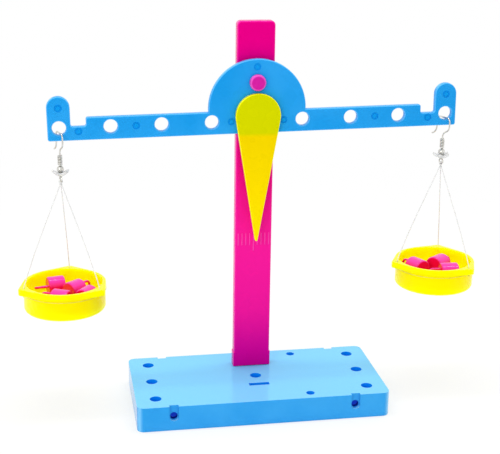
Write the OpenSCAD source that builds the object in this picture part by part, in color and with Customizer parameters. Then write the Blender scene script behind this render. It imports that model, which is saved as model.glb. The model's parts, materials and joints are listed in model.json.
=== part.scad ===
// Toy balance scale: a column on a tray-like base carries a pivoting beam with two hanging pans.
// Millimetres. The origin is the middle of the base's underside; +X runs along the beam to the
// right, +Y points away from the pointer's side and +Z points up.

/* [Base] */
// Width of the base, along the beam
base_w = 110; // [100:1:140]
// Depth of the base
base_d = 52; // [50:1:80]
// Height of the base
base_h = 11; // [10:0.5:16]
// Radius of the base's upright corners
base_corner_r = 3; // [2.5:0.5:6]
// Radius of the corners inside the base
base_inner_r = 1.2; // [0.5:0.1:3]
// Thickness of the base's walls and top
base_wall = 2; // [1.6:0.1:2.4]
// Diameter of the peg holes in the top
peg_hole_d = 5; // [4:0.1:6]
// Distance of the side peg holes from the middle, along X
peg_hole_x = 46.5; // [45:0.5:48]
// Spacing of the side peg holes, along Y
peg_hole_pitch = 17.5; // [12:0.5:18]
// Wall of the tubes under the holes
boss_wall = 1.5; // [1:0.1:1.8]
// Height of the tubes' ends above the table
boss_foot = 0; // [0:0.1:3]
// Length of the slit in front of the middle hole
slit_l = 9; // [6:0.5:12]
// Width of the slit
slit_w = 2.4; // [1:0.1:3]
// Distance of the slit in front of the middle hole
slit_y = 9; // [7:0.5:12]
// Diameter of the two small holes
small_hole_d = 3.7; // [3:0.1:4.5]
// Distance of the small holes from the middle, along X
small_hole_x = 20.3; // [16:0.1:26]
// Distance of the small holes from the middle, along Y
small_hole_y = 21.2; // [19:0.1:21.5]
// Diameter of the axle holes in the front and rear walls
axle_hole_d = 3.2; // [2.5:0.1:3.5]
// Distance of the axle holes from the middle, along X
axle_x = 39.5; // [34:0.5:40]
// Height of the axle holes above the table
axle_z = 6.2; // [5:0.1:7]
// Width of the groove above each axle hole
groove_w = 3.9; // [3.7:0.1:5]
// Depth of that groove
groove_depth = 1.5; // [1:0.1:2]
// Width of the pad behind each groove
pad_w = 8; // [6.5:0.5:9]

/* [Column] */
// Width of the column
column_w = 16.3; // [13:0.1:20]
// Depth of the column
column_d = 5; // [4.5:0.1:8]
// Distance of the column's front face behind the middle of the base
column_y = 10.6; // [9.8:0.1:12]
// Height of the column above the base
column_h = 156; // [150:1:190]
// Radius of the column's upright edges
column_edge_r = 0.8; // [0.3:0.1:1.5]
// Radius of the column's two top corners
column_top_r = 1.9; // [1:0.1:4]
// Height of the collar at the column's foot
collar_h = 7; // [4:0.5:12]
// How far the collar stands proud of the column's sides
collar_proud = 0.3; // [0.1:0.05:0.6]
// Length of the tenon below the column
tenon_l = 8; // [6:0.5:8]
// Step from the column's sides to its tenon
tenon_step = 0.8; // [0.5:0.1:1.2]
// Clearance round the tenon in its socket
socket_gap = 0.1; // [0.05:0.05:0.2]
// Wall of the socket below the base's top
socket_wall = 1.6; // [1.2:0.1:2.2]
// Spacing of the raised scale ticks
tick_pitch = 1.7; // [1.2:0.1:1.7]
// Ticks on each side of the long one
tick_count = 4; // [2:1:4]
// Width of a tick
tick_w = 0.4; // [0.3:0.05:0.6]
// Length of a short tick
tick_l = 5.5; // [3:0.5:8]
// Extra length of the middle tick, downwards
tick_extra = 2.6; // [1:0.2:5]
// How far the ticks stand out of the column
tick_proud = 0.25; // [0.1:0.05:0.4]
// Distance of the short ticks' lower ends below the pivot
tick_drop = 72.9; // [62:0.1:80]

/* [Pivot pin] */
// Distance of the pivot below the column's top
pin_below = 25.1; // [22:0.1:30]
// Diameter of the pin's shank
pin_d = 5; // [4:0.1:6]
// Diameter of the pin's button head
pin_head_d = 7; // [6.6:0.1:8]
// Height of the pin's head
pin_head_h = 2.2; // [1.5:0.1:3]
// Radius round the button head's edge
pin_head_round = 1.2; // [0.5:0.1:1.4]
// Clearance round the shank in the column
pin_seat_gap = 0.02; // [0.01:0.01:0.05]
// Clearance round the shank in the beam
pin_run_gap = 0.06; // [0.03:0.01:0.1]
// Diameter of the boss on the column behind the beam
pin_boss_d = 10; // [9:0.5:14]
// Gap between column and beam
beam_gap = 1.2; // [0.4:0.1:1.5]
// Play between boss, beam and pin head, along the pin
beam_play = 0.1; // [0.05:0.05:0.2]

/* [Beam] */
// Thickness of the beam
beam_t = 2.8; // [2.4:0.1:3.2]
// Tilt at which the beam stands, left end down, in degrees
beam_tilt = 1; // [0:0.1:3]
// Height of the pivot above the line of holes
pin_above = 16.3; // [15:0.1:18]
// Distance of the innermost holes from the middle
hole_first = 19.5; // [17:0.1:20]
// Spacing of the holes
hole_pitch = 21.2; // [21:0.1:22]
// Holes on each arm
hole_count = 4; // [4:1:4]
// Diameter of the holes
hole_d = 5.8; // [5.4:0.1:6.2]
// Height of the bar above the line of holes
bar_above = 4.2; // [4:0.1:6]
// Depth of the bar below the line of holes
bar_below = 5.4; // [5:0.1:5.8]
// Width of the ears at the ends
ear_w = 9.6; // [9.4:0.1:11]
// Height of the ears above the line of holes
ear_above = 13.2; // [12.4:0.1:18]
// Width of the notch beside each ear
notch_w = 6.3; // [5:0.1:7]
// Height of the notch's floor above the line of holes
notch_floor = 0.5; // [0:0.1:2]
// Radius of the domed hub
dome_r = 20.9; // [19:0.1:23]
// Height of the hub's centre above the line of holes
dome_z = 5.2; // [4:0.1:7]
// Distance of the hub's two lower ejector marks from the middle
hub_mark_x = 11.2; // [9:0.1:13]
// Diameter of the shallow ejector marks
mark_d = 3.2; // [2:0.1:3.6]
// Depth of the ejector marks
mark_depth = 0.3; // [0.1:0.05:0.5]
// Drop of the mark below a notch's floor
notch_mark_drop = 2; // [1.7:0.1:3]

/* [Pointer] */
// Thickness of the pointer
pointer_t = 2.5; // [2:0.1:3.2]
// Radius of the pointer's round head
pointer_r = 9.7; // [8:0.1:10.2]
// Distance of the head's centre below the pivot
pointer_drop = 14.1; // [14:0.1:16]
// Distance of the pointer's tip below the pivot
pointer_reach = 69.2; // [50:0.1:80]
// Lean of the pointer off the square to the beam, tip to the left, in degrees
pointer_lean = 1.1; // [0:0.1:2]
// Radius of the pointer's tip
pointer_tip_r = 0.6; // [0.4:0.1:1.5]
// Diameter of the pointer's two studs
stud_d = 3; // [2:0.1:3.4]
// Distance of the studs from the pointer's middle
stud_x = 5; // [4.2:0.1:6]
// Clearance round the studs in the beam
stud_gap = 0.05; // [0.02:0.01:0.1]
// How far the studs end short of the beam's rear face
stud_short = 0.5; // [0.2:0.1:1.5]

/* [Hooks] */
// Thickness of the hook's wire
wire_d = 0.7; // [0.5:0.05:0.9]
// Gap between the hook and the bottom of its hole
hook_gap = 0.5; // [0.45:0.05:0.8]
// Turn of the left hook about the vertical, in degrees
left_hook_turn = 18; // [0:1:20]
// Turn of the right hook about the vertical, in degrees
right_hook_turn = 22; // [0:1:24]
// Straight length at the hook's top
hook_top_l = 4.4; // [4.2:0.1:6]
// Bend radius at each end of the top
hook_bend_r = 1.8; // [1.5:0.1:3]
// Straight length of the front leg
hook_leg_l = 1.6; // [1:0.1:3]
// Bend radius where the front leg returns below the top
hook_return_r = 3; // [2.8:0.1:4]
// Straight length of the rear tail
hook_tail_l = 2.6; // [1:0.1:4]
// Angle of the tail's outward curl, in degrees
hook_curl = 75; // [20:5:80]
// Radius of the curl
hook_curl_r = 4; // [1.5:0.1:6]
// Length of the coil, without its ends
coil_l = 4; // [3:0.5:4]
// Thickness of the coil's wire
coil_wire_d = 0.56; // [0.4:0.02:0.58]
// Turns of the coil
coil_turns = 4; // [3:1:4]
// Clearance between coil and shaft
coil_gap = 0.18; // [0.1:0.02:0.3]
// Diameter of the ball
ball_d = 3; // [2.4:0.1:4]
// Clearance round the shaft in the ball and the bead
bead_gap = 0.06; // [0.03:0.01:0.1]
// Distance across the star bead's points, from the middle
star_r = 4.2; // [3.5:0.1:5]
// Radius of the star's inner corners
star_inner_r = 1.9; // [1.6:0.1:2.4]
// Thickness of the star
star_t = 1.2; // [0.8:0.1:1.6]
// How far the star's points rise
star_rise = 1.6; // [0:0.1:2]
// Gap between the pieces threaded on the shaft
stack_gap = 0.05; // [0.03:0.01:0.1]
// Radius of the eye at the hook's foot
eye_r = 1.1; // [1:0.05:1.4]

/* [Threads] */
// Thickness of the threads
thread_d = 0.4; // [0.3:0.05:0.5]
// Radius of the thread's loop through the eye
tie_r = 0.75; // [0.7:0.05:0.8]
// Diameter of the knots
knot_d = 1.4; // [1.2:0.1:1.6]

/* [Pans] */
// Height of the pans
pan_h = 12; // [11:0.5:16]
// Outer radius of the pan's wall
pan_r = 17.4; // [17.2:0.1:17.6]
// Thickness of the pan's wall
pan_wall = 1.2; // [0.8:0.1:1.3]
// Thickness of the pan's floor
pan_floor = 1.5; // [1:0.1:2]
// Height of the foot below the floor
pan_foot = 0.9; // [0.5:0.1:1.2]
// Radius of the rounding round the pan's bottom
pan_round = 1.5; // [0.8:0.1:2]
// Radius of the rounding round the pan's floor
pan_inner_round = 1; // [0.5:0.1:2]
// Thickness of the rim
rim_t = 2.6; // [2:0.1:3.2]
// How far the rim stands out of the wall
rim_proud = 0.3; // [0.1:0.05:0.5]
// Distance of the lobes' centres from the pan's middle
lobe_x = 19.4; // [19:0.1:21]
// Radius of the lobes
lobe_r = 1.6; // [1.4:0.1:2]
// Diameter of the thread holes in the lobes
thread_hole_d = 1; // [0.9:0.05:1.4]
// Depth of the pan's rim below the hook's top
pan_drop = 65.2; // [65:0.1:65.4]
// Turn of the left pan about the vertical, in degrees
left_pan_turn = -8; // [-12:1:0]
// Turn of the right pan about the vertical, in degrees
right_pan_turn = -24; // [-28:1:-14]

/* [Weights] */
// Diameter of the left pan's weights
small_weight_d = 8.4; // [7:0.1:8.6]
// Length of the left pan's weights
small_weight_l = 7.4; // [6:0.1:7.6]
// Diameter of the right pan's weights
large_weight_d = 9.2; // [8:0.1:9.4]
// Length of the right pan's weights
large_weight_l = 7.9; // [6:0.1:8.2]
// Thickness of the bails
bail_d = 1.1; // [0.8:0.1:1.2]
// Length of the bails
bail_l = 5.8; // [5:0.1:6]
// Width of the bails
bail_w = 5; // [4:0.1:5.2]
// Gap below the weights
weight_gap = 0.2; // [0.1:0.05:0.3]

/* [Hidden] */
$fn = 64;
eps = 0.01;
blue = "#36a5f0";
pale_blue = "#7fcdfb";
pink = "#e4158a";
yellow = "#fff21a";
steel = "#c9c9c4";
clear = "#dfe6e8";
nylon = "#e6e6e2";

column_mid = column_y + column_d / 2;
column_top = base_h + column_h;
pin_z = column_top - pin_below;
tick_z = pin_z - tick_drop;
beam_rear = column_y - beam_gap;
beam_front = beam_rear - beam_t;
end_hole = hole_first + (hole_count - 1) * hole_pitch;
beam_end = end_hole + ear_w / 2;
notch_x = beam_end - ear_w - notch_w / 2;
boss_h = beam_gap - beam_play;

// Middle of an end hole, side -1 for the left and +1 for the right, with the beam tilted
function hole_x(side) = side * end_hole * cos(beam_tilt) + pin_above * sin(beam_tilt);
function hole_z(side) = pin_z + side * end_hole * sin(beam_tilt) - pin_above * cos(beam_tilt);
// Middle of the wire at a hook's top
function hang(side) = [
    hole_x(side),
    beam_rear - beam_t / 2,
    hole_z(side) - hole_d / 2 + hook_gap + wire_d / 2
];
function hook_turn(side) = side < 0 ? left_hook_turn : right_hook_turn;
function pan_turn(side) = side < 0 ? left_pan_turn : right_pan_turn;

// Heights on the hook, downwards from the middle of the wire at its top
hook_half = hook_top_l / 2 + hook_bend_r;
return_angle = acos(1 - hook_half / (2 * hook_return_r));
shaft_start = hook_bend_r + hook_leg_l + 2 * hook_return_r * sin(return_angle);
coil_top = shaft_start + stack_gap + coil_wire_d;
// The wire is a little thinner where it is bent
bent_share = 0.97;
bent_d = wire_d * bent_share;
coil_r = wire_d / 2 + coil_gap + coil_wire_d / 2;
ball_z = coil_top + coil_l + coil_wire_d / 2 + stack_gap + ball_d / 2;
star_z = ball_z + ball_d / 2 + stack_gap + star_t / 2;
eye_z = star_z + star_t / 2 + stack_gap + wire_d / 2 + eye_r;
eye_drop = eye_z + eye_r;
tie_knot_drop = eye_drop + tie_r + knot_d / 2;

// A thread's route as [distance from the pan's middle, height above the rim's top]
thread_route = [
    [0.4, 43], [1.5, 40.5], [2.6, 38], [4.9, 33], [6, 30.5], [7.1, 28], [9.2, 23.4], [11.2, 18.8],
    [13.1, 14.4], [14.8, 10], [16.4, 6], [17.6, 2.6], [18.2, 0.8], [18.4, -0.6], [18.4, -3.2]
];
thread_sides = 8;
wire_sides = 10;
thread_x = thread_route[len(thread_route) - 1][0];
band_z = rim_t + knot_d / 2 + stack_gap;
lobe_angles = [90, 210, 330];

pan_inner_r = pan_r - pan_wall;
floor_z = pan_foot + pan_floor;

// Places of the weights in a pan: [x, y, heading of the bail, roll of the bail about its axis]
left_weights = [[-3.7, 9.5, 193, 20], [4.3, 3, 43, 90], [9.2, -5.8, 236, 90], [-1.8, -7.6, 155, 90]];
right_weights = [[-7.6, 1.4, 115, 90], [3.6, 4.4, 38, 80], [4.6, -6.8, 177, 90]];

// Flat outlines and small helpers

module rounded_rectangle(w, d, r) {
    square([w - 2 * r, d], center = true);
    square([w, d - 2 * r], center = true);
    for (x = [-1, 1], y = [-1, 1]) {
        translate([x * (w / 2 - r), y * (d / 2 - r)]) circle(r);
    }
}

// A circle of radius r1 at the origin, drawn out along +X to one of radius r2 at a distance. The
// straight sides cross the circles a hair inside the tangents.
module drop(r1, r2, distance) {
    lean = acos((r1 - r2) / distance);
    side = [cos(lean), sin(lean)];
    across = [cos(lean), -sin(lean)];
    far = [distance, 0];
    circle(r1);
    translate(far) circle(r2);
    polygon([
        (r1 - eps) * across, far + (r2 - eps) * across, far + (r2 - eps) * side, (r1 - eps) * side
    ]);
}

// Stands a flat outline upright, its lower face at y and its thickness towards +Y
module upright(y, t) {
    translate([0, y + t, 0]) rotate([90, 0, 0]) linear_extrude(t) children();
}

// A straight round rod along Y, from y to y + l
module rod_y(d, y, l) {
    translate([0, y + l, 0]) rotate([90, 0, 0]) cylinder(d = d, h = l);
}

// A ring of wire about the axis Z
module wire_ring(r, d) {
    rotate_extrude() translate([r, 0]) circle(d = d);
}

// Places a piece in the beam's own frame: the line of holes lies at height 0
module at_beam() {
    translate([0, 0, pin_z]) rotate([0, -beam_tilt, 0]) translate([0, 0, -pin_above]) children();
}

module at_hook(side) {
    translate(hang(side)) rotate([0, 0, hook_turn(side)]) children();
}

// Places a piece in a pan's frame: the middle of the rim's top
module at_pan(side) {
    translate(hang(side) - [0, 0, pan_drop]) rotate([0, 0, pan_turn(side)]) children();
}

// A tube through rings of points, with both ends closed
module tube(rings) {
    sides = len(rings[0]);
    last = (len(rings) - 1) * sides;
    walls = [
        for (i = [0 : len(rings) - 2], j = [0 : sides - 1])
            let (a = i * sides + j, b = i * sides + (j + 1) % sides)
                each [[a, b, b + sides], [a, b + sides, a + sides]]
    ];
    ends = [
        for (j = [1 : sides - 2])
            each [[0, j + 1, j], [last, last + j, last + j + 1]]
    ];
    polyhedron(points = [for (ring = rings) each ring], faces = concat(walls, ends));
}

function unit(v) = v / norm(v);
// Direction of a route at its point i
function route_tangent(route, i) = unit(route[min(i + 1, len(route) - 1)] - route[max(i - 1, 0)]);
// Points of a ring round p, in the plane of the directions n and b
function ring_points(p, n, b, r, sides) =
    [for (j = [0 : sides - 1]) let (a = 360 * j / sides) p + r * (cos(a) * n + sin(a) * b)];

// Base

module peg_places() {
    for (x = [-peg_hole_x, peg_hole_x], row = [-1 : 1]) {
        translate([x, row * peg_hole_pitch, 0]) children();
    }
    children();
}

module small_places() {
    for (y = [-small_hole_y, small_hole_y]) {
        translate([small_hole_x, y, 0]) children();
    }
}

// The four axle places, each turned so that the wall's outer face lies at y = 0 and inwards is +Y
module axle_places() {
    for (x = [-axle_x, axle_x], turn = [0, 180]) {
        rotate([0, 0, turn]) translate([x, -base_d / 2, 0]) children();
    }
}

module base_shell() {
    difference() {
        linear_extrude(base_h) rounded_rectangle(base_w, base_d, base_corner_r);
        translate([0, 0, -eps]) linear_extrude(base_h - base_wall + eps)
            rounded_rectangle(base_w - 2 * base_wall, base_d - 2 * base_wall, base_inner_r);
    }
}

module hole_tube(d) {
    translate([0, 0, boss_foot]) cylinder(d = d + 2 * boss_wall, h = base_h - boss_foot - base_wall / 2);
}

module hole(d) {
    translate([0, 0, -1]) cylinder(d = d, h = base_h + 2);
}

module socket_block(w, d, from, to) {
    translate([-w / 2, column_mid - d / 2, from]) cube([w, d, to - from]);
}

module base() {
    tenon_w = column_w - 2 * tenon_step + 2 * socket_gap;
    tenon_d = column_d - 2 * tenon_step + 2 * socket_gap;
    color(pale_blue) difference() {
        union() {
            base_shell();
            peg_places() hole_tube(peg_hole_d);
            small_places() hole_tube(small_hole_d);
            axle_places() translate([-pad_w / 2, base_wall / 2, 0])
                cube([pad_w, groove_depth + base_wall / 2, base_h - base_wall / 2]);
            socket_block(tenon_w + 2 * socket_wall, tenon_d + 2 * socket_wall, boss_foot, base_h - base_wall / 2);
        }
        peg_places() hole(peg_hole_d);
        small_places() hole(small_hole_d);
        translate([-slit_l / 2, -slit_y - slit_w / 2, 0]) cube([slit_l, slit_w, base_h + 1]);
        axle_places() {
            translate([0, 0, axle_z]) rod_y(groove_w, -1, groove_depth + 1);
            translate([-groove_w / 2, -1, axle_z]) cube([groove_w, groove_depth + 1, base_h]);
            translate([0, 0, axle_z]) rod_y(axle_hole_d, -1, groove_depth + base_wall + 2);
        }
        socket_block(tenon_w, tenon_d, -1, base_h + 1);
    }
}

// Column

module column_bar() {
    intersection() {
        translate([0, column_mid, base_h]) linear_extrude(column_h)
            rounded_rectangle(column_w, column_d, column_edge_r);
        translate([0, 0, column_top - column_h / 2]) upright(column_y - 1, column_d + 2) {
            rounded_rectangle(column_w, column_h, column_top_r);
            translate([-column_w / 2, -column_h / 2]) square([column_w, column_h / 2]);
        }
    }
}

module ticks() {
    for (i = [-tick_count : tick_count]) {
        extra = i == 0 ? tick_extra : 0;
        translate([i * tick_pitch - tick_w / 2, column_y - tick_proud, tick_z - extra])
            cube([tick_w, 2 * tick_proud, tick_l + extra]);
    }
}

module column() {
    tenon_w = column_w - 2 * tenon_step;
    tenon_d = column_d - 2 * tenon_step;
    color(pink) difference() {
        union() {
            column_bar();
            translate([0, column_mid, base_h]) linear_extrude(collar_h)
                rounded_rectangle(column_w + 2 * collar_proud, column_d, column_edge_r);
            translate([-tenon_w / 2, column_mid - tenon_d / 2, base_h - tenon_l])
                cube([tenon_w, tenon_d, tenon_l + 1]);
            translate([0, 0, pin_z]) rod_y(pin_boss_d, column_y - boss_h, boss_h + 1);
            ticks();
        }
        translate([0, 0, pin_z]) rod_y(pin_d + 2 * pin_seat_gap, column_y - 2, column_d + 4);
    }
}

// Pivot pin

module pivot_pin() {
    head_y = beam_front - beam_play;
    color(pink) translate([0, 0, pin_z]) {
        translate([0, head_y, 0]) rotate([90, 0, 0]) rotate_extrude() intersection() {
            rounded_rectangle(pin_head_d, 2 * pin_head_h, pin_head_round);
            square([pin_head_d / 2, pin_head_h]);
        }
        rod_y(pin_d, head_y - eps, column_y + column_d - head_y);
    }
}

// Beam

module beam_marks() {
    for (x = [-1, 1]) {
        translate([x * end_hole, ear_above - ear_w / 2]) circle(d = mark_d);
        translate([x * notch_x, notch_floor - notch_mark_drop]) circle(d = mark_d);
        translate([x * (hole_first + 1.5 * hole_pitch), 0]) circle(d = mark_d);
        translate([x * hub_mark_x, 0]) circle(d = mark_d);
    }
    translate([0, dome_z + dome_r - mark_d]) circle(d = mark_d);
}

// Places a flat outline in the pointer's own frame: the middle of its head, turned by its lean
module at_pointer_head() {
    translate([0, pin_above - pointer_drop]) rotate(-pointer_lean) children();
}

module beam_outline() {
    difference() {
        union() {
            translate([-beam_end, -bar_below]) square([2 * beam_end, bar_below + bar_above]);
            for (x = [-1, 1]) translate([x * (beam_end - ear_w / 2), 0]) {
                translate([-ear_w / 2, 0]) square([ear_w, ear_above - ear_w / 2]);
                translate([0, ear_above - ear_w / 2]) circle(d = ear_w);
            }
            intersection() {
                translate([0, dome_z]) circle(dome_r, $fn = 96);
                translate([-dome_r, 0]) square([2 * dome_r, dome_z + dome_r + 1]);
            }
        }
        for (x = [-1, 1]) {
            translate([x * notch_x - notch_w / 2, notch_floor]) square([notch_w, bar_above]);
            for (i = [0 : hole_count - 1]) translate([x * (hole_first + i * hole_pitch), 0]) circle(d = hole_d);
            at_pointer_head() translate([x * stud_x, 0]) circle(d = stud_d + 2 * stud_gap);
        }
        translate([0, pin_above]) circle(d = pin_d + 2 * pin_run_gap);
    }
}

module beam() {
    color(blue) at_beam() difference() {
        upright(beam_front, beam_t) beam_outline();
        upright(beam_front - 1, 1 + mark_depth) beam_marks();
    }
}

// Pointer

module pointer() {
    reach = pointer_reach - pointer_drop - pointer_tip_r;
    color(yellow) at_beam() {
        upright(beam_front - pointer_t, pointer_t)
            at_pointer_head() rotate(-90) drop(pointer_r, pointer_tip_r, reach);
        upright(beam_front - pointer_t / 2, pointer_t / 2 + beam_t - stud_short) at_pointer_head() {
            for (x = [-stud_x, stud_x]) translate([x, 0]) circle(d = stud_d);
        }
    }
}

// Hooks and what is threaded on them

function arc_yz(y, z, r, from, to, steps) =
    [for (i = [0 : steps]) let (a = from + (to - from) * i / steps) [0, y + r * cos(a), z + r * sin(a)]];
leg_foot = hook_bend_r + hook_leg_l;
tail_foot = hook_bend_r + hook_tail_l;
hook_route = concat(
    arc_yz(hook_half + hook_curl_r, -tail_foot, hook_curl_r, 180 + hook_curl, 180, 6),
    arc_yz(hook_top_l / 2, -hook_bend_r, hook_bend_r, 0, 90, 6),
    arc_yz(-hook_top_l / 2, -hook_bend_r, hook_bend_r, 90, 180, 6),
    arc_yz(hook_return_r - hook_half, -leg_foot, hook_return_r, 180, 180 + return_angle, 5),
    arc_yz(-hook_return_r, -shaft_start, hook_return_r, return_angle * 0.8, 0, 4),
    [[0, 0, -shaft_start - wire_d]]
);
hook_rings = [
    for (i = [0 : len(hook_route) - 1])
        let (t = route_tangent(hook_route, i))
            ring_points(hook_route[i], [1, 0, 0], cross([1, 0, 0], t), bent_d / 2, wire_sides)
];

module hook_wire(side) {
    color(steel) at_hook(side) {
        tube(hook_rings);
        translate([0, 0, eye_r - eye_z]) cylinder(d = wire_d, h = eye_z - eye_r - shaft_start);
        translate([0, 0, -eye_z]) rotate([90, 0, 0]) wire_ring(eye_r, bent_d);
    }
}

coil_steps = 8;
coil_sides = 6;
function coil_tangent(a) =
    unit([-coil_r * sin(a), coil_r * cos(a), -coil_l / coil_turns / 360 * 180 / PI]);
function coil_point(a) = [coil_r * cos(a), coil_r * sin(a), -coil_top - coil_l * a / 360 / coil_turns];
function coil_ring(p, a) =
    let (n = [cos(a), sin(a), 0])
        ring_points(p, n, cross(n, coil_tangent(a)), coil_wire_d / 2, coil_sides);
coil_angles = [for (i = [0 : coil_turns * coil_steps]) 360 * i / coil_steps];
coil_end = 360 * coil_turns;
coil_gaps = [
    for (a = coil_angles, b = coil_angles) if (b - a >= 270)
        norm(coil_point(a) - coil_point(b)) - coil_wire_d
];
echo("least gap of the coil to itself, mm", min(coil_gaps));

module hook_coil(side) {
    rings = concat(
        [coil_ring(coil_point(0) - coil_wire_d * coil_tangent(0), 0)],
        [for (a = coil_angles) coil_ring(coil_point(a), a)],
        [coil_ring(coil_point(coil_end) + coil_wire_d * coil_tangent(coil_end), coil_end)]
    );
    color(steel) at_hook(side) tube(rings);
}

module shaft_hole() {
    translate([0, 0, -ball_d]) cylinder(d = wire_d + 2 * bead_gap, h = 2 * ball_d);
}

module hook_ball(side) {
    color(steel) at_hook(side) translate([0, 0, -ball_z]) difference() {
        sphere(d = ball_d);
        shaft_hole();
    }
}

module star_bead(side) {
    points = [for (i = [0 : 9]) (i % 2 == 0 ? star_r : star_inner_r) * [cos(36 * i), sin(36 * i)]];
    half = star_t / 2;
    flat = ball_d / 2;
    reach = star_r + star_t;
    lift = star_rise * (reach - flat) / (star_r - flat);
    color(clear) at_hook(side) translate([0, 0, -star_z]) difference() {
        intersection() {
            translate([0, 0, -star_t]) linear_extrude(2 * star_t + star_rise) polygon(points);
            rotate_extrude() polygon([
                [0, -half], [flat, -half], [reach, lift - half],
                [reach, lift + half], [flat, half], [0, half]
            ]);
        }
        shaft_hole();
    }
}

// Threads

module thread_tie(side) {
    color(nylon) at_hook(side) {
        translate([0, 0, -eye_drop]) rotate([0, 90, 0]) wire_ring(tie_r, thread_d);
        translate([0, 0, -tie_knot_drop]) sphere(d = knot_d);
    }
}

thread_points = [for (p = thread_route) [p[0], 0, p[1]]];
thread_rings = [
    for (i = [0 : len(thread_points) - 1])
        let (t = route_tangent(thread_points, i))
            ring_points(thread_points[i], [0, 1, 0], cross([0, 1, 0], t), thread_d / 2, thread_sides)
];

module thread(side, lobe) {
    color(nylon) at_pan(side) rotate([0, 0, lobe_angles[lobe]]) tube(thread_rings);
}

module thread_band(side) {
    color(nylon) at_pan(side) translate([0, 0, -band_z]) {
        wire_ring(pan_r + stack_gap + thread_d / 2, thread_d);
        for (a = lobe_angles) rotate([0, 0, a]) translate([thread_x, 0, 0]) sphere(d = knot_d);
    }
}

// Pans

// Half of a round dish's section, with a rounded lower edge
module dish_section(r, h, round_r) {
    square([r - round_r, h]);
    translate([0, round_r]) square([r, h - round_r]);
    translate([r - round_r, round_r]) circle(round_r);
}

module pan(side) {
    color(yellow) at_pan(side) difference() {
        union() {
            translate([0, 0, -pan_h]) rotate_extrude($fn = 96) dish_section(pan_r, pan_h, pan_round);
            translate([0, 0, -rim_t]) linear_extrude(rim_t) {
                for (a = lobe_angles) rotate(a) drop(pan_r + rim_proud, lobe_r, lobe_x);
            }
        }
        translate([0, 0, floor_z - pan_h]) rotate_extrude($fn = 96)
            dish_section(pan_inner_r, pan_h, pan_inner_round);
        translate([0, 0, -pan_h - 1]) cylinder(r = pan_inner_r - pan_round, h = pan_foot + 1, $fn = 96);
        for (a = lobe_angles) rotate([0, 0, a]) translate([thread_x, 0, -rim_t - 1])
            cylinder(d = thread_hole_d, h = rim_t + 2);
    }
}

// Weights

module weight_body(d, l) {
    leg_y = (bail_w - bail_d) / 2;
    leg_l = bail_l - bail_w / 2;
    translate([-l / 2, 0, 0]) rotate([0, 90, 0]) cylinder(d = d, h = l);
    for (y = [-leg_y, leg_y]) {
        translate([l / 2 - bail_d / 2, y, 0]) rotate([0, 90, 0]) cylinder(d = bail_d, h = leg_l + bail_d / 2);
    }
    translate([l / 2 + leg_l, 0, 0]) rotate([0, 0, -90]) rotate_extrude(angle = 180)
        translate([leg_y, 0]) circle(d = bail_d);
}

module weight(side, place, d, l) {
    z = floor_z - pan_h + weight_gap + d / 2;
    color(pink) translate(hang(side) + [place[0], place[1], z - pan_drop])
        rotate([0, 0, place[2]]) rotate([place[3], 0, 0]) weight_body(d, l);
}

module left_weight(i) {
    weight(-1, left_weights[i], small_weight_d, small_weight_l);
}

module right_weight(i) {
    weight(1, right_weights[i], large_weight_d, large_weight_l);
}

base();
column();
pivot_pin();
beam();
pointer();
hook_wire(-1);  // left_hook_wire
hook_coil(-1);  // left_hook_coil
hook_ball(-1);  // left_hook_ball
star_bead(-1);  // left_star_bead
thread_tie(-1);  // left_thread_tie
thread(-1, 0);  // left_thread_rear
thread(-1, 1);  // left_thread_left
thread(-1, 2);  // left_thread_right
thread_band(-1);  // left_thread_band
pan(-1);  // left_pan
hook_wire(1);  // right_hook_wire
hook_coil(1);  // right_hook_coil
hook_ball(1);  // right_hook_ball
star_bead(1);  // right_star_bead
thread_tie(1);  // right_thread_tie
thread(1, 0);  // right_thread_rear
thread(1, 1);  // right_thread_left
thread(1, 2);  // right_thread_right
thread_band(1);  // right_thread_band
pan(1);  // right_pan
left_weight(0);  // left_weight_1
left_weight(1);  // left_weight_2
left_weight(2);  // left_weight_3
left_weight(3);  // left_weight_4
right_weight(0);  // right_weight_1
right_weight(1);  // right_weight_2
right_weight(2);  // right_weight_3
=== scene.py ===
import json
import math

import bmesh
import bpy
from mathutils import Matrix, Vector

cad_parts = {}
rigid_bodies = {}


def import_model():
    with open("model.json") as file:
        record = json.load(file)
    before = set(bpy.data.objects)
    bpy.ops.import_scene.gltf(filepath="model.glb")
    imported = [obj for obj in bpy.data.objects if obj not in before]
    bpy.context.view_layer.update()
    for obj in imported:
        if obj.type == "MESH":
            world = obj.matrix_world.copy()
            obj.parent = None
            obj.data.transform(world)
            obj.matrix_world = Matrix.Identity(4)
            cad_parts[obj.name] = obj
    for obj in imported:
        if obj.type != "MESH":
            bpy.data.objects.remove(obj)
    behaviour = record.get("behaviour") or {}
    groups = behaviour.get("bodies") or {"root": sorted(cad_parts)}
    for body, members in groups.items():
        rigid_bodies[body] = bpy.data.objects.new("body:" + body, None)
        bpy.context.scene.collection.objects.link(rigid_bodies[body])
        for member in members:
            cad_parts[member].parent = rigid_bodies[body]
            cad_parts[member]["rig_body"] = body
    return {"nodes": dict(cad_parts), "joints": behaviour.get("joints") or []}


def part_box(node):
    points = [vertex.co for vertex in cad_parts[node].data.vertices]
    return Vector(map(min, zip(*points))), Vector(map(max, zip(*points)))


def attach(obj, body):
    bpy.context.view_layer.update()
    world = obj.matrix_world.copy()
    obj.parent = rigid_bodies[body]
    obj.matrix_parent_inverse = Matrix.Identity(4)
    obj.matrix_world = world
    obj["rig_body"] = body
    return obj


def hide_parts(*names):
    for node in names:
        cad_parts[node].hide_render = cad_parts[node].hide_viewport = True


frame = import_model()
nodes = frame["nodes"]
joints = {joint["name"]: joint for joint in frame["joints"]}
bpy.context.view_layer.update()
mm = 0.001  # shapes are drawn in millimetres and made metres when they are placed
sides = ("left", "right")
print("frame loaded:", len(nodes), "nodes")


def linked(name, data):
    obj = bpy.data.objects.new(name, data)
    bpy.context.scene.collection.objects.link(obj)
    return obj


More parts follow.
